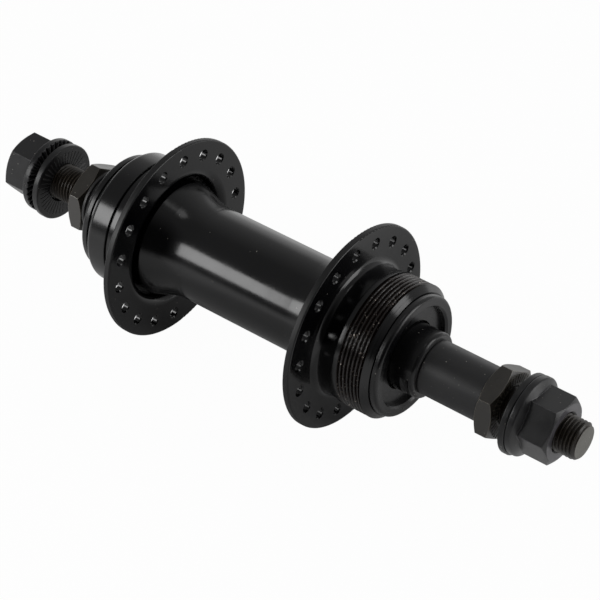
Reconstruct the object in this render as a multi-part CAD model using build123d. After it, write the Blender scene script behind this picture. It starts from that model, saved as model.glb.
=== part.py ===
from build123d import *
import math
import os

os.makedirs("parts", exist_ok=True)

# The axle lies along Y with the drive side at -Y and +Z up. The origin is midway
# between the outer faces of the locknuts. All sizes are in millimetres and degrees.
DRIVE = -1
LEFT = 1

# Places along the hub, measured from the middle
locknut_face = 65.0
axle_end = 85.0
right_flange_face = 20.4
left_flange_face = 37.0
flange_face = {DRIVE: right_flange_face, LEFT: left_flange_face}

# Axle, 3/8 inch
axle_radius = 9.525 / 2
axle_end_radius = 4.1
axle_chamfer_length = 0.7
thread_clearance = 0.05
plain_clearance = 0.15
nut_bore = axle_radius + thread_clearance
plain_bore = axle_radius + plain_clearance

# Flanges and spoke holes
flange_radius = 26.6
flange_thickness = 1.8
flange_rim_rounding = 0.4
recess_radius = 16.0
recess_mouth_rounding = 2.9
spoke_circle_radius = 22.5
spoke_hole_radius = 1.3
spoke_sink_depth = 0.3
spoke_count = 18
spoke_phase = {DRIVE: 11.4, LEFT: 2.2}

# Cups outboard of the flanges, places measured outward from the flange face
web_inner = 4.2
web_outer = 7.2
cup_end = 15.4
pocket_radius = 14.0
neck_radius = 17.0
neck_end = 4.9
neck_rounding = 1.8
freewheel_thread_radius = 1.375 * 25.4 / 2
shoulder_start = 5.7
shoulder_rounding = 0.5
freewheel_thread_end = 13.9
lead_in_radius = 16.0
boss_radius = 17.3
boss_end = 7.45
boss_rounding = 1.5
boss_edge_rounding = 0.25
groove_end = 7.75
groove_radius = 17.0
drum_radius = 17.5
drum_end = 13.9
drum_rounding = 1.3
drum_edge_rounding = 0.3
left_neck_radius = 15.0

# Barrel with flared ends pressed into the cups
barrel_radius = 12.5
barrel_bore = 11.0
flare_start = -8.7
flare_rounding = 20.0
flare_end = -1.2
flare_radius = 15.3
flare_edge_rounding = 0.25
socket_radius = 14.9

# Ball bearings, seven quarter-inch balls a side
ball_radius = 6.35 / 2
ball_count = 7
ball_circle = 9.7
ball_place = 11.5
track_clearance = 0.05
track_radius = ball_radius + track_clearance
race_end = 13.2
race_bore = 8.2
cage_band_inner = 12.05
cage_band_outer = 12.6
cage_band_start = 11.8
cage_ring_inner = 8.9
cage_ring_start = 13.8
cage_end = 14.3
cage_window_clearance = 0.1

# Dust caps
right_cap_rim_radius = 15.7
left_cap_rim_radius = 15.4
cap_rim_radius = {DRIVE: right_cap_rim_radius, LEFT: left_cap_rim_radius}
cap_rim_end = 17.4
cap_rim_rounding = 0.9
cap_opening_radius = 13.4
cap_wall_radius = 12.9
cap_opening_chamfer = 0.5
cap_floor = 15.7
cap_web_start = 15.0
cap_hole_radius = 9.0
cap_skirt_inner = 13.2

# Cones
cone_nose_start = 9.5
cone_nose_radius = 6.475
cone_nose_chamfer = 0.45
cone_radius = 8.5
cone_end = 22.6
cone_end_rounding = 0.9
cone_flats = 15.0
cone_flat_start = 19.1
cone_flat_end = 21.4
cone_flat_phase = 23.4

# Spacers and locknuts
right_locknut_length = 4.7
left_locknut_length = 4.4
locknut_length = {DRIVE: right_locknut_length, LEFT: left_locknut_length}
lock_washer_radius = 8.4
spacer_radius = 7.0
spacer_chamfer = 0.4
locknut_flats = 17.0
locknut_phase = {DRIVE: 24.6, LEFT: 27.5}
locknut_chamfer_radius = 8.3
locknut_tooth_inner = 5.8
locknut_tooth_outer = 8.4
locknut_tooth_count = 40
locknut_tooth_depth = 0.2
locknut_tooth_width = 0.45

# Axle nuts with flanges, each placed by how far its outer end stands past the axle end
nut_length = 9.95
right_nut_past_end = -5.4
left_nut_past_end = 2.6
nut_flats = 15.0
nut_phase = {DRIVE: 52.6, LEFT: 7.1}
nut_flange_radius = 10.0
nut_flange_rim = 1.7
nut_flange_rounding = 0.5
nut_face_rounding = 0.35
nut_cone_end = 2.8
nut_cone_radius = 7.9
nut_chamfer_radius = 7.3
nut_tooth_inner = 6.2
right_nut_tooth_outer = 9.4
left_nut_tooth_outer = 10.2
nut_tooth_outer = {DRIVE: right_nut_tooth_outer, LEFT: left_nut_tooth_outer}
nut_tooth_count = 36
nut_tooth_depth = 0.4
nut_tooth_width = 0.95

# Washers, hanging on the axle with their bores nearly on its top
right_washer_thickness = 1.7
left_washer_thickness = 1.8
right_washer_gap = 0.0
left_washer_gap = 1.7
washer_thickness = {DRIVE: right_washer_thickness, LEFT: left_washer_thickness}
washer_gap = {DRIVE: right_washer_gap, LEFT: left_washer_gap}
washer_radius = 10.2
washer_bore = 5.225
washer_drop = 0.44
washer_rounding = 0.35
washer_tooth_outer = 8.9
washer_tooth_count = 40
washer_tooth_depth = 0.12
washer_tooth_width = 0.3

# Places that follow from the sizes above
cone_outer_end = {DRIVE: right_flange_face + cone_end, LEFT: left_flange_face + cone_end}
locknut_start = {
    DRIVE: locknut_face - right_locknut_length,
    LEFT: locknut_face - left_locknut_length,
}
nut_inner_face = {
    DRIVE: axle_end + right_nut_past_end - nut_length,
    LEFT: axle_end + left_nut_past_end - nut_length,
}

# Shared by the six-sided nuts
chamfer_angle = 30.0
thread_sink = 0.5
tooth_overshoot = 0.2

# Shared by the turned outlines: how much of an edge one rounding may take up
rounding_share = 0.95


def rounding_room(corners, index):
    """The largest rounding that fits between a corner and its two neighbours."""
    here = Vector(*corners[index])
    before = Vector(*corners[index - 1]) - here
    after = Vector(*corners[(index + 1) % len(corners)]) - here
    reach = rounding_share * min(before.length, after.length)
    return reach * math.tan(math.radians(before.get_angle(after)) / 2)


def turned(side, start, rows):
    """Revolve an outline of (radius, place, rounding) rows about the axle."""
    corners = [(radius, side * (start + place)) for radius, place, rounding in rows]
    face = make_face(Polyline(*corners, close=True))
    for index, row in enumerate(rows):
        if row[2] > 0:
            corner = face.vertices().sort_by_distance(corners[index])[0]
            face = fillet(corner, min(row[2], rounding_room(corners, index)))
    return revolve(face, Axis.Y)


def about_axle(shape, degrees):
    """Turn a shape about the axle, from +X towards +Z."""
    return Rot(0, -degrees, 0) * shape


def hexagon(side, start, length, across_flats, phase):
    """A six-sided bar along the axle with one corner at the phase angle."""
    section = RegularPolygon(across_flats / 2, 6, major_radius=False)
    low_end = min(side * start, side * (start + length))
    bar = Pos(0, low_end, 0) * Rot(-90, 0, 0) * extrude(section, length)
    return about_axle(bar, phase)


def nut_envelope(side, start, length, across_flats, chamfer_radius, both_ends):
    """The turned shape that gives a nut its chamfered corners."""
    corner = across_flats / 2 / math.cos(math.radians(30)) + tooth_overshoot
    rise = (corner - chamfer_radius) * math.tan(math.radians(chamfer_angle))
    near_end = [(0, 0, 0), (corner, 0, 0)]
    if both_ends:
        near_end = [(0, 0, 0), (chamfer_radius, 0, 0), (corner, rise, 0)]
    far_end = [(corner, length - rise, 0), (chamfer_radius, length, 0), (0, length, 0)]
    return turned(side, start, near_end + far_end)


def axle_hole(side, start, length, bore):
    """A plain bore with a small countersink at both ends."""
    wide = bore + thread_sink
    rows = [
        (0, -tooth_overshoot, 0),
        (wide + tooth_overshoot, -tooth_overshoot, 0),
        (bore, thread_sink, 0),
        (bore, length - thread_sink, 0),
        (wide + tooth_overshoot, length + tooth_overshoot, 0),
        (0, length + tooth_overshoot, 0),
    ]
    return turned(side, start, rows)


def radial_grooves(place, outward, inner, outer, count, depth, width):
    """V-grooves running out from the axle, cut into a face that looks outward."""
    lip = place + outward * tooth_overshoot
    half_lip = width / 2 * (depth + tooth_overshoot) / depth
    bottom = place - outward * depth
    section = make_face(Polyline((lip, -half_lip), (lip, half_lip), (bottom, 0), close=True))
    groove = extrude(Plane.YZ.offset(inner) * section, outer - inner)
    return [about_axle(groove, 360 / count * index) for index in range(count)]


def ball_track(side):
    """The ring-shaped groove that the balls run in."""
    centre = side * (flange_face[side] + ball_place)
    return Pos(0, centre, 0) * Rot(90, 0, 0) * Torus(ball_circle, track_radius)


def ball_set(side, radius):
    """One sphere for each ball, evenly spaced about the axle."""
    centre = side * (flange_face[side] + ball_place)
    first = Pos(ball_circle, centre, 0) * Sphere(radius)
    return [about_axle(first, 360 / ball_count * index) for index in range(ball_count)]


def spoke_holes(side):
    """The ring of spoke holes with a countersink at both faces of the flange."""
    wide = spoke_hole_radius + spoke_sink_depth + tooth_overshoot
    low = side * (flange_face[side] - flange_thickness)
    high = side * flange_face[side]
    low, high = min(low, high), max(low, high)
    corners = [
        (0, low - tooth_overshoot),
        (wide, low - tooth_overshoot),
        (spoke_hole_radius, low + spoke_sink_depth),
        (spoke_hole_radius, high - spoke_sink_depth),
        (wide, high + tooth_overshoot),
        (0, high + tooth_overshoot),
    ]
    drill = revolve(make_face(Polyline(*corners, close=True)), Axis.Y)
    first = Pos(spoke_circle_radius, 0, 0) * drill
    pitch = 360 / spoke_count
    return [about_axle(first, spoke_phase[side] + pitch * index) for index in range(spoke_count)]


def make_axle():
    """The solid axle with chamfered ends."""
    shoulder = axle_end - axle_chamfer_length
    rows = [
        (0, -axle_end, 0),
        (axle_end_radius, -axle_end, 0),
        (axle_radius, -shoulder, 0),
        (axle_radius, shoulder, 0),
        (axle_end_radius, axle_end, 0),
        (0, axle_end, 0),
    ]
    return turned(LEFT, 0, rows)


def make_barrel():
    """The tube between the flanges, flared at both ends."""
    drive = flange_face[DRIVE]
    left = flange_face[LEFT]
    rows = [
        (barrel_bore, -(drive + web_outer), 0),
        (socket_radius, -(drive + web_outer), 0),
        (socket_radius, -(drive + flare_end), 0),
        (flare_radius, -(drive + flare_end), flare_edge_rounding),
        (barrel_radius, -(drive + flare_start), flare_rounding),
        (barrel_radius, left + flare_start, flare_rounding),
        (flare_radius, left + flare_end, flare_edge_rounding),
        (socket_radius, left + flare_end, 0),
        (socket_radius, left + web_outer, 0),
        (barrel_bore, left + web_outer, 0),
    ]
    return turned(LEFT, 0, rows)


def flange_rows():
    """The outline of a flange and the recess behind it, shared by both cups."""
    return [
        (pocket_radius, cup_end, 0),
        (pocket_radius, web_outer, 0),
        (socket_radius, web_outer, 0),
        (socket_radius, web_inner, 0),
        (recess_radius, web_inner, 0),
        (recess_radius, -flange_thickness, recess_mouth_rounding),
        (flange_radius, -flange_thickness, flange_rim_rounding),
        (flange_radius, 0, flange_rim_rounding),
    ]


def make_right_cup():
    """Drive-side flange and cup with the freewheel thread at its major diameter."""
    rows = flange_rows() + [
        (neck_radius, 0, neck_rounding),
        (neck_radius, neck_end, 0),
        (freewheel_thread_radius, shoulder_start, shoulder_rounding),
        (freewheel_thread_radius, freewheel_thread_end, 0),
        (lead_in_radius, cup_end, 0),
    ]
    return turned(DRIVE, flange_face[DRIVE], rows) - spoke_holes(DRIVE)


def make_left_cup():
    """Left flange and cup with its grooved drum."""
    rows = flange_rows() + [
        (boss_radius, 0, boss_rounding),
        (boss_radius, boss_end, boss_edge_rounding),
        (groove_radius, boss_end, 0),
        (groove_radius, groove_end, 0),
        (drum_radius, groove_end, drum_edge_rounding),
        (drum_radius, drum_end, drum_rounding),
        (left_neck_radius, drum_end, 0),
        (left_neck_radius, cup_end, 0),
    ]
    return turned(LEFT, flange_face[LEFT], rows) - spoke_holes(LEFT)


def make_race(side):
    """The ball race seated in the cup."""
    track_edge = ball_circle + track_radius
    rows = [
        (race_bore, web_outer, 0),
        (pocket_radius, web_outer, 0),
        (pocket_radius, race_end, 0),
        (track_edge, race_end, 0),
        (track_edge, ball_place, 0),
        (race_bore, ball_place, 0),
    ]
    return turned(side, flange_face[side], rows) - ball_track(side)


def make_cage(side):
    """The pressed cage that keeps the balls apart."""
    rows = [
        (cage_band_inner, cage_band_start, 0),
        (cage_band_outer, cage_band_start, 0),
        (cage_band_outer, cage_end, 0),
        (cage_ring_inner, cage_end, 0),
        (cage_ring_inner, cage_ring_start, 0),
        (cage_band_inner, cage_ring_start, 0),
    ]
    return turned(side, flange_face[side], rows) - ball_set(side, ball_radius + cage_window_clearance)


def make_dust_cap(side):
    """The pressed ring that closes the cup, with its rounded rim and recessed floor."""
    rim = cap_rim_radius[side]
    rows = [
        (pocket_radius, race_end, 0),
        (pocket_radius, cup_end, 0),
        (rim, cup_end, cap_opening_chamfer / 2),
        (rim, cap_rim_end, cap_rim_rounding),
        (cap_opening_radius, cap_rim_end, 0),
        (cap_wall_radius, cap_rim_end - cap_opening_chamfer, 0),
        (cap_wall_radius, cap_floor, 0),
        (cap_hole_radius, cap_floor, 0),
        (cap_hole_radius, cap_web_start, 0),
        (cap_skirt_inner, cap_web_start, 0),
        (cap_skirt_inner, race_end, 0),
    ]
    return turned(side, flange_face[side], rows)


def make_cone(side):
    """The threaded cone with its ball track and two slots for a thin wrench."""
    start = flange_face[side]
    rows = [
        (0, cone_nose_start, 0),
        (cone_nose_radius - cone_nose_chamfer, cone_nose_start, 0),
        (cone_nose_radius, cone_nose_start + cone_nose_chamfer, 0),
        (cone_nose_radius, ball_place, 0),
        (cone_radius, ball_place, 0),
        (cone_radius, cone_end, cone_end_rounding),
        (0, cone_end, 0),
    ]
    hole = axle_hole(side, start + cone_nose_start, cone_end - cone_nose_start, nut_bore)
    cone = turned(side, start, rows) - ball_track(side) - hole
    length = cone_flat_end - cone_flat_start
    middle = side * (start + cone_flat_start + length / 2)
    outside = Box(4 * cone_radius, length, 4 * cone_radius)
    between = Box(cone_flats, length, 4 * cone_radius)
    return cone - about_axle(Pos(0, middle, 0) * (outside - between), cone_flat_phase)


def make_ring(side, start, end, radius, bore, chamfer_size):
    """A plain ring on the axle with chamfered outer edges."""
    rows = [
        (bore, 0, 0),
        (radius - chamfer_size, 0, 0),
        (radius, chamfer_size, 0),
        (radius, end - start - chamfer_size, 0),
        (radius - chamfer_size, end - start, 0),
        (bore, end - start, 0),
    ]
    return turned(side, start, rows)


def make_locknut(side):
    """A six-sided locknut whose outer face is serrated to grip the dropout."""
    start = locknut_start[side]
    length = locknut_length[side]
    nut = hexagon(side, start, length, locknut_flats, locknut_phase[side])
    nut = nut & nut_envelope(side, start, length, locknut_flats, locknut_chamfer_radius, True)
    nut = nut - axle_hole(side, start, length, nut_bore)
    return nut - radial_grooves(
        side * locknut_face,
        side,
        locknut_tooth_inner,
        locknut_tooth_outer,
        locknut_tooth_count,
        locknut_tooth_depth,
        locknut_tooth_width,
    )


def make_washer(side):
    """A washer serrated on its hub side, hanging slightly low on the axle."""
    thickness = washer_thickness[side]
    start = nut_inner_face[side] - washer_gap[side] - thickness
    rows = [
        (washer_bore, 0, 0),
        (washer_radius, 0, washer_rounding),
        (washer_radius, thickness, washer_rounding),
        (washer_bore, thickness, 0),
    ]
    grooves = radial_grooves(
        side * start,
        -side,
        axle_radius,
        washer_tooth_outer,
        washer_tooth_count,
        washer_tooth_depth,
        washer_tooth_width,
    )
    return Pos(0, 0, -washer_drop) * (turned(side, start, rows) - grooves)


def make_axle_nut(side):
    """A six-sided axle nut on a round flange with a serrated hub-side face."""
    start = nut_inner_face[side]
    flange_rows_of_nut = [
        (0, 0, 0),
        (nut_flange_radius, 0, nut_face_rounding),
        (nut_flange_radius, nut_flange_rim, nut_flange_rounding),
        (nut_cone_radius, nut_cone_end, 0),
        (0, nut_cone_end, 0),
    ]
    nut = hexagon(side, start, nut_length, nut_flats, nut_phase[side])
    nut = nut & nut_envelope(side, start, nut_length, nut_flats, nut_chamfer_radius, False)
    nut = nut + turned(side, start, flange_rows_of_nut)
    nut = nut - axle_hole(side, start, nut_length, nut_bore)
    return nut - radial_grooves(
        side * start,
        -side,
        nut_tooth_inner,
        nut_tooth_outer[side],
        nut_tooth_count,
        nut_tooth_depth,
        nut_tooth_width,
    )


def group(solids):
    """Several separate solids kept together in one node."""
    return Compound(children=[Solid(solid.wrapped) for solid in solids])


nodes = {
    "axle": make_axle(),
    "barrel": make_barrel(),
    "right_flange_cup": make_right_cup(),
    "left_flange_cup": make_left_cup(),
    "left_lock_washer": make_ring(
        LEFT, cone_outer_end[LEFT], locknut_start[LEFT], lock_washer_radius, plain_bore, spacer_chamfer / 2
    ),
    "right_spacer": make_ring(
        DRIVE, cone_outer_end[DRIVE], locknut_start[DRIVE], spacer_radius, plain_bore, spacer_chamfer
    ),
}
for name, side in (("right", DRIVE), ("left", LEFT)):
    nodes[name + "_bearing_race"] = make_race(side)
    nodes[name + "_balls"] = group(ball_set(side, ball_radius))
    nodes[name + "_ball_cage"] = make_cage(side)
    nodes[name + "_dust_cap"] = make_dust_cap(side)
    nodes[name + "_cone"] = make_cone(side)
    nodes[name + "_locknut"] = make_locknut(side)
    nodes[name + "_washer"] = make_washer(side)
    nodes[name + "_axle_nut"] = make_axle_nut(side)

for name, shape in nodes.items():
    export_step(shape, "parts/" + name + ".step")
    print(name, len(shape.solids()), round(shape.volume, 1))
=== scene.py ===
import math

import bmesh
import bpy
from mathutils import Matrix, Vector


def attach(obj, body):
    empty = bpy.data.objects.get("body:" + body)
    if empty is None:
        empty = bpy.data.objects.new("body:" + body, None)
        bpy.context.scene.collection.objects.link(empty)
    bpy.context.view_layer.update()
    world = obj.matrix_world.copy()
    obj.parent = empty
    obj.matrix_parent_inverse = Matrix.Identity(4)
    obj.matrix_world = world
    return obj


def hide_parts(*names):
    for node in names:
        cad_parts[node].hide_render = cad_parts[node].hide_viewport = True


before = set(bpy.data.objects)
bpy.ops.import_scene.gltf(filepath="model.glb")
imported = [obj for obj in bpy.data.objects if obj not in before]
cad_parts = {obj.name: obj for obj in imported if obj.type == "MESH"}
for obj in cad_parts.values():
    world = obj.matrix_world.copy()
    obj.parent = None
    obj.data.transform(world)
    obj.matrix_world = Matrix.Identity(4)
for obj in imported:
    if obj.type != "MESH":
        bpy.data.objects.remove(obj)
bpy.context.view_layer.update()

# Shell: the barrel tube, its two flange cups and the pressed dust caps are mild steel,
# stove-enamelled gloss black after assembly. The enamel lies with a faint orange peel and
# carries a little dust, and it is duller on the sheared rims of the flanges.
MM = 0.001
ENAMEL_PEEL = 1.6 * MM
ENAMEL_PEEL_DEPTH = 0.012 * MM
ENAMEL_CLOUD = 9.0 * MM
# Where the rims begin, as a radius, and how much rougher they are
SHEARED_RIM = 26.35 * MM
SHEARED_ROUGHER = 0.3
# The width over which one finish gives way to another
FINISH_STEP = 0.1 * MM
DUST = "#a8a49c"
# Spacing, size and patch size of the dust
ENAMEL_DUST = (2.4 * MM, 0.15 * MM, 6.0 * MM)
# Noise levels at which a patch of dust or nicks begins and is full
PATCH_EDGE = (0.5, 0.62)
# Noise levels between which most of a pattern lies
NOISE_SPAN = (0.3, 0.7)
# The share of a speck that is solid, inside its soft edge
SPECK_CORE = 0.6
# Real spinning marks are nearer 0.1 mm apart. They are drawn coarser, so that they show.
SPUN_RING = 0.4 * MM
SPUN_RING_DEPTH = 0.02 * MM


def colour(hex_value):
    """A linear colour from an sRGB hex value."""
    parts = [int(hex_value[i : i + 2], 16) / 255 for i in (1, 3, 5)]
    linear = [c / 12.92 if c <= 0.04045 else ((c + 0.055) / 1.055) ** 2.4 for c in parts]
    return (*linear, 1.0)


def add_node(tree, kind, settings=None, links=None):
    """Adds a shader node. Settings go to the node where it has the name, or else to inputs."""
    node = tree.nodes.new("ShaderNode" + kind)
    for name, value in (settings or {}).items():
        if isinstance(name, str) and hasattr(node, name):
            setattr(node, name, value)
        else:
            node.inputs[name].default_value = value
    for name, socket in (links or {}).items():
        tree.links.new(socket, node.inputs[name])
    return node


def new_material(name, settings):
    """A material with a Principled shader whose constant values are set on its sockets."""
    material = bpy.data.materials.new(name)
    material.use_nodes = True
    tree = material.node_tree
    shader = tree.nodes["Principled BSDF"]
    for socket, value in settings.items():
        shader.inputs[socket].default_value = value
    place = add_node(tree, "TexCoord").outputs["Object"]
    return material, tree, shader, place


def noise(tree, place, size, detail=2.0, roughness=0.5):
    """A noise pattern whose lumps are about one size across."""
    settings = {"Scale": 1 / size, "Detail": detail, "Roughness": roughness}
    return add_node(tree, "TexNoise", settings, {"Vector": place}).outputs["Fac"]


def remap(tree, value, from_low, from_high, to_low, to_high):
    """A value stretched from one range to another and held inside it."""
    settings = {1: from_low, 2: from_high, 3: to_low, 4: to_high}
    return add_node(tree, "MapRange", settings, {0: value}).outputs[0]


def blend_colour(tree, factor, first, second):
    """A colour between two, each given as a hex value or as a socket."""
    node = add_node(tree, "Mix", {"data_type": "RGBA"}, {0: factor})
    for index, value in ((6, first), (7, second)):
        if isinstance(value, str):
            node.inputs[index].default_value = colour(value)
        else:
            tree.links.new(value, node.inputs[index])
    return node.outputs[2]


def relief(tree, height, depth, strength=1.0, over=None):
    """Surface relief of a given depth from a height between 0 and 1."""
    links = {"Height": height}
    if over is not None:
        links["Normal"] = over
    settings = {"Strength": strength, "Distance": depth}
    return add_node(tree, "Bump", settings, links).outputs["Normal"]


def specks(tree, place, spacing, size):
    """Scattered small round specks, 1 inside one and 0 outside."""
    settings = {"Scale": 1 / spacing, "Randomness": 1.0}
    cells = add_node(tree, "TexVoronoi", settings, {"Vector": place})
    reach = size / spacing
    return remap(tree, cells.outputs["Distance"], reach, reach * SPECK_CORE, 0.0, 1.0)


def multiply(tree, first, second):
    """The product of two values."""
    return add_node(tree, "Math", {"operation": "MULTIPLY"}, {0: first, 1: second}).outputs[0]


def scattered(tree, place, spacing, size, patch):
    """Specks that gather in patches and leave the rest clean."""
    gathered = remap(tree, noise(tree, place, patch), *PATCH_EDGE, 0.0, 1.0)
    return multiply(tree, specks(tree, place, spacing, size), gathered)


def along_axle(tree, vector):
    """The part of a vector that lies along the axle."""
    return add_node(tree, "SeparateXYZ", None, {0: vector}).outputs["Y"]


def size_along_axle(tree, vector):
    """The same part without its sign: how far a place is from the middle of the axle."""
    along = along_axle(tree, vector)
    return add_node(tree, "Math", {"operation": "ABSOLUTE"}, {0: along}).outputs[0]


def from_axle(tree, place):
    """How far a point lies from the axle line."""
    settings = {"operation": "MULTIPLY", 1: (1, 0, 1)}
    flat = add_node(tree, "VectorMath", settings, {0: place}).outputs["Vector"]
    return add_node(tree, "VectorMath", {"operation": "LENGTH"}, {0: flat}).outputs["Value"]


def past(tree, distance, limit):
    """1 where a distance is past a limit, 0 where it is short of it."""
    return remap(tree, distance, limit - FINISH_STEP, limit, 0.0, 1.0)


def rings(tree, place, size):
    """Fine rings round the axle line, uneven from one to the next."""
    links = {"X": from_axle(tree, place), "Y": along_axle(tree, place)}
    turned = add_node(tree, "CombineXYZ", None, links).outputs[0]
    return noise(tree, turned, size)


def enamel(name, gloss_low, gloss_high, ring_depth=None, ring_from=0.0):
    """Gloss black stoving enamel on steel, with tool rings showing through past a distance."""
    material, tree, shader, place = new_material(name, {"Metallic": 0.0, "IOR": 1.5})
    cloud = noise(tree, place, ENAMEL_CLOUD, detail=3.0, roughness=0.6)
    peel = noise(tree, place, ENAMEL_PEEL, detail=1.0, roughness=0.4)
    body = blend_colour(tree, cloud, "#040406", "#070709")
    dust = scattered(tree, place, *ENAMEL_DUST)
    tree.links.new(blend_colour(tree, dust, body, DUST), shader.inputs["Base Color"])
    gloss = remap(tree, cloud, *NOISE_SPAN, gloss_low, gloss_high)
    out = from_axle(tree, place)
    sheared = remap(tree, out, SHEARED_RIM, SHEARED_RIM + FINISH_STEP, 0.0, SHEARED_ROUGHER)
    dulled = add_node(tree, "Math", {"operation": "ADD"}, {0: gloss, 1: sheared}).outputs[0]
    tree.links.new(dulled, shader.inputs["Roughness"])
    surface = relief(tree, peel, ENAMEL_PEEL_DEPTH, strength=0.5)
    if ring_depth:
        shown = past(tree, size_along_axle(tree, place), ring_from)
        cut = multiply(tree, rings(tree, place, SPUN_RING), shown)
        surface = relief(tree, cut, ring_depth, over=surface)
    tree.links.new(surface, shader.inputs["Normal"])
    return material


def finish(material, *names):
    """Gives CAD nodes a material."""
    for name in names:
        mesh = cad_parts[name].data
        mesh.materials.clear()
        mesh.materials.append(material)


# Stoving enamel on the pressed shell: nearly black, glossy and even, like thin glass.
shell_enamel = enamel("gloss_black_stoving_enamel", gloss_low=0.14, gloss_high=0.2)
finish(shell_enamel, "barrel", "left_flange_cup")
# The same enamel on spun caps: the spinning marks spread its highlights along the axle.
cap_enamel = enamel(
    "black_enamel_on_spun_steel", gloss_low=0.22, gloss_high=0.32, ring_depth=SPUN_RING_DEPTH
)
finish(cap_enamel, "left_dust_cap", "right_dust_cap")

# Bearings: seven hardened chrome-steel balls a side run between a ground race in the cup
# and the cone, spaced by a cage pressed from bright strip. Greased, so they look wet.
GREASE_FILM = 2.0 * MM
GREASE_FILM_SPAN = (0.35, 0.7)
GREASED_ROUGHNESS = (0.06, 0.2)
STRIP_GRAIN = 0.8 * MM
STRIP_GRAIN_DEPTH = 0.01 * MM

# Ground and polished steel under grease: bright, with sharp and dull patches.
bearing_steel, tree, shader, place = new_material("ground_chrome_bearing_steel", {"Metallic": 1.0})
film = noise(tree, place, GREASE_FILM)
tree.links.new(blend_colour(tree, film, "#b9b9ba", "#d2d1ce"), shader.inputs["Base Color"])
gloss = remap(tree, film, *GREASE_FILM_SPAN, *GREASED_ROUGHNESS)
tree.links.new(gloss, shader.inputs["Roughness"])
finish(bearing_steel, "left_bearing_race", "right_bearing_race", "left_balls", "right_balls")

# Cold-rolled strip: greyer than the balls, with the soft sheen of its rolled grain.
strip_values = {"Metallic": 1.0, "Roughness": 0.35}
cage_steel, tree, shader, place = new_material("pressed_bright_strip_steel", strip_values)
grain = noise(tree, place, STRIP_GRAIN, detail=3.0, roughness=0.7)
tree.links.new(blend_colour(tree, grain, "#8c8983", "#b0aea8"), shader.inputs["Base Color"])
surface = relief(tree, grain, STRIP_GRAIN_DEPTH, strength=0.4)
tree.links.new(surface, shader.inputs["Normal"])
finish(cage_steel, "left_ball_cage", "right_ball_cage")

# Cones, spacer and lock washer: turned from bar and left with hot black oxide, which
# keeps the lathe's fine rings. Their edges are coloured a little lighter, partly as real wear
# and partly as a painted highlight along the edges.
EDGE_WEAR_AND_HIGHLIGHT = 0.16 * MM
OXIDE_BLOTCH = 3.5 * MM
OXIDE_GRIT = 0.45 * MM
OXIDE_GRIT_DEPTH = 0.012 * MM
OXIDE_SPREAD = 0.05
# Spacing, size and patch size of the dust
OXIDE_DUST = (1.2 * MM, 0.14 * MM, 4.0 * MM)
# Real lathe marks are nearer 0.1 mm apart. They are drawn coarser, so that they show.
LATHE_RING = 0.35 * MM
LATHE_RING_DEPTH = 0.008 * MM
# How alike a rounded and a plain normal are where the lighter edge colour, part wear and
# part painted highlight, is full and where it begins
WORN_AND_HIGHLIT_LIKENESS = 0.9
WHOLE_LIKENESS = 0.995
# How much of the lighter edge colour, wear and painted highlight, shows, from where the
# blotches are low to where they are high
WEAR_AND_HIGHLIGHT_SPAN = (0.3, 0.6)
WEAR_AND_HIGHLIGHT_SHOWN = (0.35, 1.0)
# How far a normal leans along the axle where an end face begins and is full
END_FACE_LEAN = (0.9, 0.97)
# How much of an end face is paler, from where the grit is low to where it is high
PALE_FACE_SPAN = (0.2, 0.7)
PALE_FACE_SHOWN = (0.6, 1.0)


def worn_and_highlit_edges(tree, width):
    """1 along sharp edges and 0 elsewhere, for wear and a painted highlight, and the normal
    rounded over the edges.
    """
    rounded = add_node(tree, "Bevel", {"samples": 4, "Radius": width}).outputs["Normal"]
    plain = add_node(tree, "NewGeometry").outputs["Normal"]
    settings = {"operation": "DOT_PRODUCT"}
    likeness = add_node(tree, "VectorMath", settings, {0: rounded, 1: plain}).outputs["Value"]
    return remap(tree, likeness, WHOLE_LIKENESS, WORN_AND_HIGHLIT_LIKENESS, 0.0, 1.0), rounded


def pale_end_faces(tree, place, grit, face_from):
    """1 on end faces past a distance from the middle, thinner where the grit is low."""
    lean = size_along_axle(tree, add_node(tree, "TexCoord").outputs["Normal"])
    ends = remap(tree, lean, *END_FACE_LEAN, 0.0, 1.0)
    pale_share = multiply(tree, ends, remap(tree, grit, *PALE_FACE_SPAN, *PALE_FACE_SHOWN))
    return multiply(tree, pale_share, past(tree, size_along_axle(tree, place), face_from))


def oxide(
    name,
    ior,
    roughness,
    dark,
    light,
    edge,
    edge_round=EDGE_WEAR_AND_HIGHLIGHT,
    face_light=None,
    face_from=0.0,
    turned=False,
):
    """Oxide-blackened steel with edges coloured lighter as part wear and part painted highlight,
    dust, and, where given, pale end faces and rings.
    """
    material, tree, shader, place = new_material(name, {"Metallic": 0.0, "IOR": ior})
    blotch = noise(tree, place, OXIDE_BLOTCH, detail=4.0, roughness=0.6)
    grit = noise(tree, place, OXIDE_GRIT, detail=2.0, roughness=0.6)
    wear_and_highlight, rounded = worn_and_highlit_edges(tree, edge_round)
    patchy = multiply(tree, wear_and_highlight, remap(tree, blotch, *WEAR_AND_HIGHLIGHT_SPAN, *WEAR_AND_HIGHLIGHT_SHOWN))
    body = blend_colour(tree, blotch, dark, light)
    if face_light:
        body = blend_colour(tree, pale_end_faces(tree, place, grit, face_from), body, face_light)
    dust = scattered(tree, place, *OXIDE_DUST)
    body = blend_colour(tree, dust, body, DUST)
    # Lighter colour along the edges: partly real wear, partly a painted highlight.
    tree.links.new(blend_colour(tree, patchy, body, edge), shader.inputs["Base Color"])
    sheen = (roughness - OXIDE_SPREAD, roughness + OXIDE_SPREAD)
    tree.links.new(remap(tree, blotch, *NOISE_SPAN, *sheen), shader.inputs["Roughness"])
    marks = relief(tree, grit, OXIDE_GRIT_DEPTH, strength=0.6, over=rounded)
    if turned:
        marks = relief(tree, rings(tree, place, LATHE_RING), LATHE_RING_DEPTH, over=marks)
    tree.links.new(marks, shader.inputs["Normal"])
    return material


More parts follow.
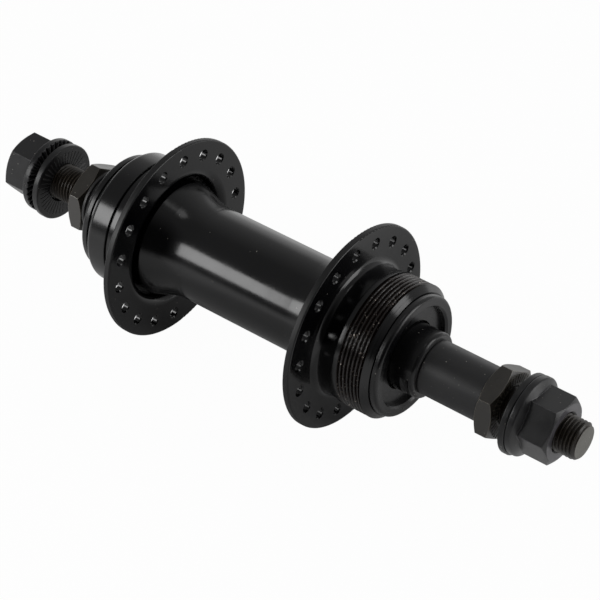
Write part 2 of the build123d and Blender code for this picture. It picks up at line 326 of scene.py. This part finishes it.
# Polished before blacking: the cones shine most, and their end faces are coloured greyer.
cone_oxide = oxide(
    "polished_black_oxide_steel",
    ior=1.38,
    roughness=0.2,
    dark="#161617",
    light="#202021",
    edge="#4a4a4a",
    face_light="#4c4c4c",
    turned=True,
)
finish(cone_oxide, "left_cone", "right_cone")
# Tube as turned: a satin black with a soft band of light along it.
spacer_oxide = oxide(
    "smooth_black_oxide_tube",
    ior=1.55,
    roughness=0.45,
    dark="#18181a",
    light="#232324",
    edge="#55524e",
    turned=True,
)
finish(spacer_oxide, "right_spacer", "left_lock_washer")

# Locknuts: six-sided, chamfered both ends and serrated where they bite the dropout. Their
# oxide has gone thin and brownish, and the corners are coloured bright: partly rubbed wear,
# partly a painted highlight.
LOCKNUT_EDGE_ROUND = 0.22 * MM
brown_oxide = oxide(
    "brown_black_oxide_steel",
    ior=1.72,
    roughness=0.32,
    dark="#1a1711",
    light="#2a251d",
    edge="#9c9486",
    edge_round=LOCKNUT_EDGE_ROUND,
)
finish(brown_oxide, "left_locknut", "right_locknut")

# Washers and axle nuts: stamped and forged steel in black oxide. The washers are satin all
# over, and the nuts have soft corners with edges coloured lighter, part wear and part painted
# highlight, and an outer face coloured a paler grey.
NUT_EDGE_ROUND = 0.4 * MM
NUT_OUTER_FACE = 79.0 * MM
satin_oxide = oxide(
    "satin_black_oxide_steel",
    ior=1.46,
    roughness=0.34,
    dark="#161617",
    light="#1e1e1f",
    edge="#5a5a5a",
)
finish(satin_oxide, "left_washer", "right_washer")
nut_oxide = oxide(
    "forged_black_oxide_steel",
    ior=1.5,
    roughness=0.34,
    dark="#111113",
    light="#19191b",
    edge="#5e5e60",
    edge_round=NUT_EDGE_ROUND,
    face_light="#5f5d61",
    face_from=NUT_OUTER_FACE,
)
finish(nut_oxide, "left_axle_nut", "right_axle_nut")

# Axle: a solid 3/8 inch rod with a rolled 26 TPI thread along its whole length and turned
# chamfers at the ends, oiled and thinly oxidised, so that the crests look browner.
AXLE_LINE = Vector((0, 1, 0))
AXLE_RADIUS = 4.7625 * MM
AXLE_PITCH = 25.4 / 26 * MM
AXLE_END = 85.0 * MM
AXLE_THREAD_DEPTH = 0.55 * MM
AXLE_CHAMFER = 0.7 * MM
AXLE_END_RADIUS = 4.1 * MM
AXLE_FACETS = 40
AXLE_SMOOTH_BELOW = 40
# The flat shares of a thread's pitch, on its crest and in its root
CREST_SHARE = 0.16
ROOT_SHARE = 0.14
# Vertices nearer to each other than this are one
MERGE = 0.0005 * MM


def thread_sheet(radius, depth, pitch, low, high, facets):
    """A helical thread about the axle line, cut square at both ends and left open there."""
    bm = bmesh.new()
    crest = pitch * CREST_SHARE
    root = pitch * ROOT_SHARE
    flank = (pitch - crest - root) / 2
    steps = ((0, radius), (crest, radius), (crest + flank, radius - depth))
    steps += ((crest + flank + root, radius - depth), (pitch, radius))
    corners = [bm.verts.new((r, low + y, 0)) for y, r in steps]
    edges = [bm.edges.new(pair) for pair in zip(corners, corners[1:])]
    bmesh.ops.spin(
        bm,
        geom=corners + edges,
        cent=(0, 0, 0),
        axis=AXLE_LINE,
        dvec=AXLE_LINE * (-pitch / facets),
        angle=-2 * math.pi,
        steps=facets,
    )
    turns = 1
    while turns * pitch < high - low + 2 * pitch:
        copy = bmesh.ops.duplicate(bm, geom=bm.verts[:] + bm.edges[:] + bm.faces[:])
        copied = [part for part in copy["geom"] if isinstance(part, bmesh.types.BMVert)]
        bmesh.ops.translate(bm, verts=copied, vec=AXLE_LINE * pitch * turns)
        turns *= 2
    bmesh.ops.remove_doubles(bm, verts=bm.verts, dist=MERGE)
    for end, outward in ((low, -1), (high, 1)):
        bmesh.ops.bisect_plane(
            bm,
            geom=bm.verts[:] + bm.edges[:] + bm.faces[:],
            plane_co=AXLE_LINE * end,
            plane_no=AXLE_LINE * outward,
            clear_outer=True,
        )
    return bm


def sharpen(bm, degrees):
    """Smooth shading that breaks at edges steeper than the angle."""
    limit = math.radians(degrees)
    for face in bm.faces:
        face.smooth = True
    for edge in bm.edges:
        edge.smooth = len(edge.link_faces) == 2 and edge.calc_face_angle(0) < limit


def place_piece(name, bm, material, body):
    """Makes a piece from a bmesh and fixes it to a body."""
    mesh = bpy.data.meshes.new(name)
    bm.to_mesh(mesh)
    bm.free()
    mesh.materials.append(material)
    piece = bpy.data.objects.new(name, mesh)
    bpy.context.scene.collection.objects.link(piece)
    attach(piece, body)
    return piece


bm = thread_sheet(AXLE_RADIUS, AXLE_THREAD_DEPTH, AXLE_PITCH, -AXLE_END, AXLE_END, AXLE_FACETS)
for vertex in bm.verts:
    into_chamfer = abs(vertex.co.y) - (AXLE_END - AXLE_CHAMFER)
    if into_chamfer > 0:
        limit = AXLE_RADIUS - (AXLE_RADIUS - AXLE_END_RADIUS) * into_chamfer / AXLE_CHAMFER
        here = math.hypot(vertex.co.x, vertex.co.z)
        if here > limit:
            vertex.co.x *= limit / here
            vertex.co.z *= limit / here
bmesh.ops.holes_fill(bm, edges=[edge for edge in bm.edges if edge.is_boundary], sides=0)
bmesh.ops.recalc_face_normals(bm, faces=bm.faces)
sharpen(bm, AXLE_SMOOTH_BELOW)
axle_oxide = oxide(
    "rolled_thread_brown_oxide_steel",
    ior=1.5,
    roughness=0.42,
    dark="#17120b",
    light="#261d12",
    edge="#4c4234",
    face_light="#6b6962",
)
threaded_axle = place_piece("threaded_axle", bm, axle_oxide, "axle_set")
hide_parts("axle")

# Drive-side cup with its freewheel thread: 1.375 inch by 24 TPI, cut on the lathe and bare
# under a dull brown oxide, with bright nicks on the crests. The flange and the plain end
# are enamelled as the shell is, and the cutter's rings show through on that end.
FLANGE_FACE = 20.4 * MM
THREAD_RADIUS = 17.44 * MM
THREAD_PITCH = 25.4 / 24 * MM
THREAD_DEPTH = 0.62 * MM
THREAD_START = FLANGE_FACE + 6.9 * MM
THREAD_END = FLANGE_FACE + 13.9 * MM
THREAD_STOP = THREAD_END - 0.02 * MM
THREAD_FACETS = 96
THREAD_SMOOTH_BELOW = 32
# The plain band that the thread takes the place of lies outside this radius
BAND_INSIDE = 17.2 * MM
# How near to a cut an edge of its rim lies
RIM_REACH = 0.005 * MM
CUT_RING_DEPTH = 0.05 * MM
THREAD_PATINA = 2.2 * MM
THREAD_ROUGHNESS = (0.16, 0.28)
THREAD_SCRATCH = 0.6 * MM
THREAD_SCRATCH_DEPTH = 0.05 * MM
# Spacing, size and patch size of the nicks
THREAD_NICKS = (0.7 * MM, 0.2 * MM, 3.5 * MM)

bm = bmesh.new()
bm.from_mesh(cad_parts["right_flange_cup"].data)
bmesh.ops.remove_doubles(bm, verts=bm.verts, dist=MERGE)
for rim_place in (THREAD_START, THREAD_STOP):
    bmesh.ops.bisect_plane(
        bm,
        geom=bm.verts[:] + bm.edges[:] + bm.faces[:],
        plane_co=AXLE_LINE * -rim_place,
        plane_no=AXLE_LINE,
    )
band = []
for face in bm.faces:
    middle = face.calc_center_median()
    outside = math.hypot(middle.x, middle.z) > BAND_INSIDE
    if outside and THREAD_START < -middle.y < THREAD_END:
        band.append(face)
bmesh.ops.delete(bm, geom=band, context="FACES")
for face in bm.faces:
    face.material_index = 0
sheet = thread_sheet(
    THREAD_RADIUS, THREAD_DEPTH, THREAD_PITCH, -THREAD_STOP, -THREAD_START, THREAD_FACETS
)
for face in sheet.faces:
    face.material_index = 1
scrap = bpy.data.meshes.new("thread_scrap")
sheet.to_mesh(scrap)
sheet.free()
bm.from_mesh(scrap)
bpy.data.meshes.remove(scrap)
for rim_place in (THREAD_START, THREAD_STOP):
    rims = []
    for edge in bm.edges:
        near = all(abs(vertex.co.y + rim_place) < RIM_REACH for vertex in edge.verts)
        if near and edge.is_boundary:
            rims.append(edge)
    bmesh.ops.bridge_loops(bm, edges=rims)
bmesh.ops.recalc_face_normals(bm, faces=bm.faces)
sharpen(bm, THREAD_SMOOTH_BELOW)
cup_enamel = enamel(
    "black_enamel_over_turned_steel",
    gloss_low=0.14,
    gloss_high=0.2,
    ring_depth=CUT_RING_DEPTH,
    ring_from=THREAD_END,
)
threaded_cup = place_piece("threaded_drive_cup", bm, cup_enamel, "hub_shell")
# Bare cut thread: dark brown and slightly shiny, with scratches and nicks that glint.
thread_steel, tree, shader, place = new_material("dull_brown_oxide_thread", {"IOR": 1.5})
patina = noise(tree, place, THREAD_PATINA, detail=3.0, roughness=0.6)
nicks = scattered(tree, place, *THREAD_NICKS)
body = blend_colour(tree, patina, "#0b0706", "#20120c")
tree.links.new(blend_colour(tree, nicks, body, "#cdc2b8"), shader.inputs["Base Color"])
tree.links.new(nicks, shader.inputs["Metallic"])
gloss = remap(tree, patina, *NOISE_SPAN, *THREAD_ROUGHNESS)
tree.links.new(gloss, shader.inputs["Roughness"])
scratch = noise(tree, place, THREAD_SCRATCH, detail=2.0, roughness=0.6)
surface = relief(tree, scratch, THREAD_SCRATCH_DEPTH, strength=0.8)
tree.links.new(surface, shader.inputs["Normal"])
threaded_cup.data.materials.append(thread_steel)
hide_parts("right_flange_cup")

# Paper sweep: the hub lies on matt white paper that shows white to the camera. To
# reflections the paper shows a painted glow as well, brightest at the back and past the two
# ends and weak close by, where the black enamel mirrors the paper's own shading and the hub's
# shadow.
FLOOR_HEIGHT = -26.6 * MM
FLOOR_HALF = 2.5
PAPER_GLOW = 0.975
# Painted glow of the paper in reflections: its share close by, past the ends and at the back
PAPER_MIRRORED = 0.03
PAPER_MIRRORED_ENDS = 0.5
PAPER_MIRRORED_BACK = 1.0
PAPER_BACK_NEAR = 25 * MM
PAPER_BACK_FAR = 180 * MM
PAPER_ENDS_NEAR = 48 * MM
PAPER_ENDS_FAR = 75 * MM
BACK_SIDE = (0.866, 0.5, 0.0)


def larger(tree, first, second):
    """The larger of two values."""
    return add_node(tree, "Math", {"operation": "MAXIMUM"}, {0: first, 1: second}).outputs[0]


def reach_towards(tree, vector, side):
    """How far a vector reaches towards one side."""
    settings = {"operation": "DOT_PRODUCT", 1: side}
    return add_node(tree, "VectorMath", settings, {0: vector}).outputs["Value"]


paper = bpy.data.materials.new("white_paper_sweep")
paper.use_nodes = True
tree = paper.node_tree
tree.nodes.clear()
path = add_node(tree, "LightPath")
bounced = larger(tree, path.outputs["Is Glossy Ray"], path.outputs["Is Transmission Ray"])
spot = add_node(tree, "TexCoord").outputs["Object"]
back = reach_towards(tree, spot, BACK_SIDE)
ends = size_along_axle(tree, spot)
back_range = (PAPER_BACK_NEAR, PAPER_BACK_FAR, PAPER_MIRRORED, PAPER_MIRRORED_BACK)
ends_range = (PAPER_ENDS_NEAR, PAPER_ENDS_FAR, PAPER_MIRRORED, PAPER_MIRRORED_ENDS)
painted_glow_level = larger(tree, remap(tree, back, *back_range), remap(tree, ends, *ends_range))
mirrored = multiply(tree, bounced, painted_glow_level)
settings = {"operation": "MULTIPLY", 1: PAPER_GLOW}
watched = add_node(tree, "Math", settings, {0: path.outputs["Is Camera Ray"]}).outputs[0]
share = larger(tree, mirrored, watched)
matt = add_node(tree, "BsdfDiffuse", {"Color": colour("#f2f2f2")}).outputs[0]
glow = add_node(tree, "Emission", {"Color": (1, 1, 1, 1), "Strength": 1.0}).outputs[0]
mixed = add_node(tree, "MixShader", None, {0: share, 1: matt, 2: glow}).outputs[0]
add_node(tree, "OutputMaterial", None, {"Surface": mixed})
bm = bmesh.new()
lowered = Matrix.Translation((0, 0, FLOOR_HEIGHT))
bmesh.ops.create_grid(bm, x_segments=1, y_segments=1, size=FLOOR_HALF, matrix=lowered)
mesh = bpy.data.meshes.new("paper_sweep")
bm.to_mesh(mesh)
bm.free()
mesh.materials.append(paper)
floor = bpy.data.objects.new("paper_sweep", mesh)
bpy.context.scene.collection.objects.link(floor)


# Softboxes: a small square one close by on the left draws the band on the barrel, a tall
# one on the right draws the weaker highlights, and a small one overhead lights the tops.
def softbox(name, azimuth, elevation, distance, roll, width, height, radiance):
    """A rectangular lamp that looks at the middle of the hub, in degrees and metres."""
    data = bpy.data.lights.new(name, "AREA")
    data.shape = "RECTANGLE"
    data.size = width
    data.size_y = height
    data.energy = math.pi * width * height * radiance
    lamp = bpy.data.objects.new(name, data)
    flat = math.cos(math.radians(elevation))
    across = flat * math.cos(math.radians(azimuth))
    along = flat * math.sin(math.radians(azimuth))
    direction = Vector((across, along, math.sin(math.radians(elevation))))
    facing = direction.to_track_quat("Z", "Y").to_matrix().to_4x4()
    rolled = Matrix.Rotation(math.radians(roll), 4, "Z")
    lamp.matrix_world = Matrix.Translation(direction * distance) @ facing @ rolled
    lamp.visible_camera = False
    bpy.context.scene.collection.objects.link(lamp)


softbox(
    "key_softbox",
    azimuth=140.5,
    elevation=22,
    distance=0.36,
    roll=18,
    width=0.147,
    height=0.145,
    radiance=6.0,
)
softbox(
    "side_softbox",
    azimuth=299,
    elevation=15,
    distance=0.6,
    roll=0,
    width=0.26,
    height=0.5,
    radiance=2.9,
)
softbox(
    "top_softbox",
    azimuth=40,
    elevation=83,
    distance=0.6,
    roll=0,
    width=0.135,
    height=0.135,
    radiance=1.3,
)

# Room: white to the camera. To the hub it is a dim grey that is dark behind the camera,
# lighter on one side and nearly white low at the back, and the black enamel mirrors that.
ROOM_LEVEL = 0.23
BRIGHT_SIDE = (0.97, 0.17, 0.17)
BRIGHT_SPREAD = (0.3, 0.95)
BRIGHT_LEVEL = 0.47
BACK_SPREAD = (0.9, 0.98)
BACK_LEVEL = 0.9
DARK_SIDE = (-0.876, -0.408, 0.259)
DARK_SPREAD = (0.5, 0.87)
DARK_LEVEL = 0.03



def facing_side(tree, side, low, high):
    """0 to 1 as a direction turns towards one side of the room."""
    direction = add_node(tree, "TexCoord").outputs["Generated"]
    return remap(tree, reach_towards(tree, direction, side), low, high, 0.0, 1.0)


def blend_value(tree, factor, first, second):
    """A value between two, each given as a number or as a socket."""
    node = add_node(tree, "Mix", None, {0: factor})
    for index, value in ((2, first), (3, second)):
        if isinstance(value, float):
            node.inputs[index].default_value = value
        else:
            tree.links.new(value, node.inputs[index])
    return node.outputs[0]


world = bpy.data.worlds.new("studio_surround")
world.use_nodes = True
tree = world.node_tree
bright = facing_side(tree, BRIGHT_SIDE, *BRIGHT_SPREAD)
level = blend_value(tree, bright, ROOM_LEVEL, BRIGHT_LEVEL)
level = blend_value(tree, facing_side(tree, BACK_SIDE, *BACK_SPREAD), level, BACK_LEVEL)
level = blend_value(tree, facing_side(tree, DARK_SIDE, *DARK_SPREAD), level, DARK_LEVEL)
level = blend_value(tree, add_node(tree, "LightPath").outputs["Is Camera Ray"], level, 1.0)
tree.links.new(level, tree.nodes["Background"].inputs["Strength"])
tree.nodes["Background"].inputs["Color"].default_value = (1, 1, 1, 1)
bpy.context.scene.world = world

# Camera: a long lens, above the drive end of the hub and in front of it, looking down and
# along the axle. Its place is in metres and its angles are in degrees.
CAMERA_PLACE = Vector((-340.06, -268.0, 364.2)) * MM
CAMERA_DOWN = 40.208
CAMERA_HEADING = -52.103
CAMERA_SENSOR = 36.0
CAMERA_LENS = 139.2146
CAMERA_CLIP = 0.01

camera_data = bpy.data.cameras.new("studio_camera")
camera_data.sensor_width = CAMERA_SENSOR
camera_data.lens = CAMERA_LENS
camera_data.clip_start = CAMERA_CLIP
camera = bpy.data.objects.new("studio_camera", camera_data)
camera.location = CAMERA_PLACE
camera.rotation_euler = (math.radians(90 - CAMERA_DOWN), 0, math.radians(CAMERA_HEADING))
bpy.context.scene.collection.objects.link(camera)
bpy.context.scene.camera = camera
bpy.context.scene.view_settings.view_transform = "Standard"
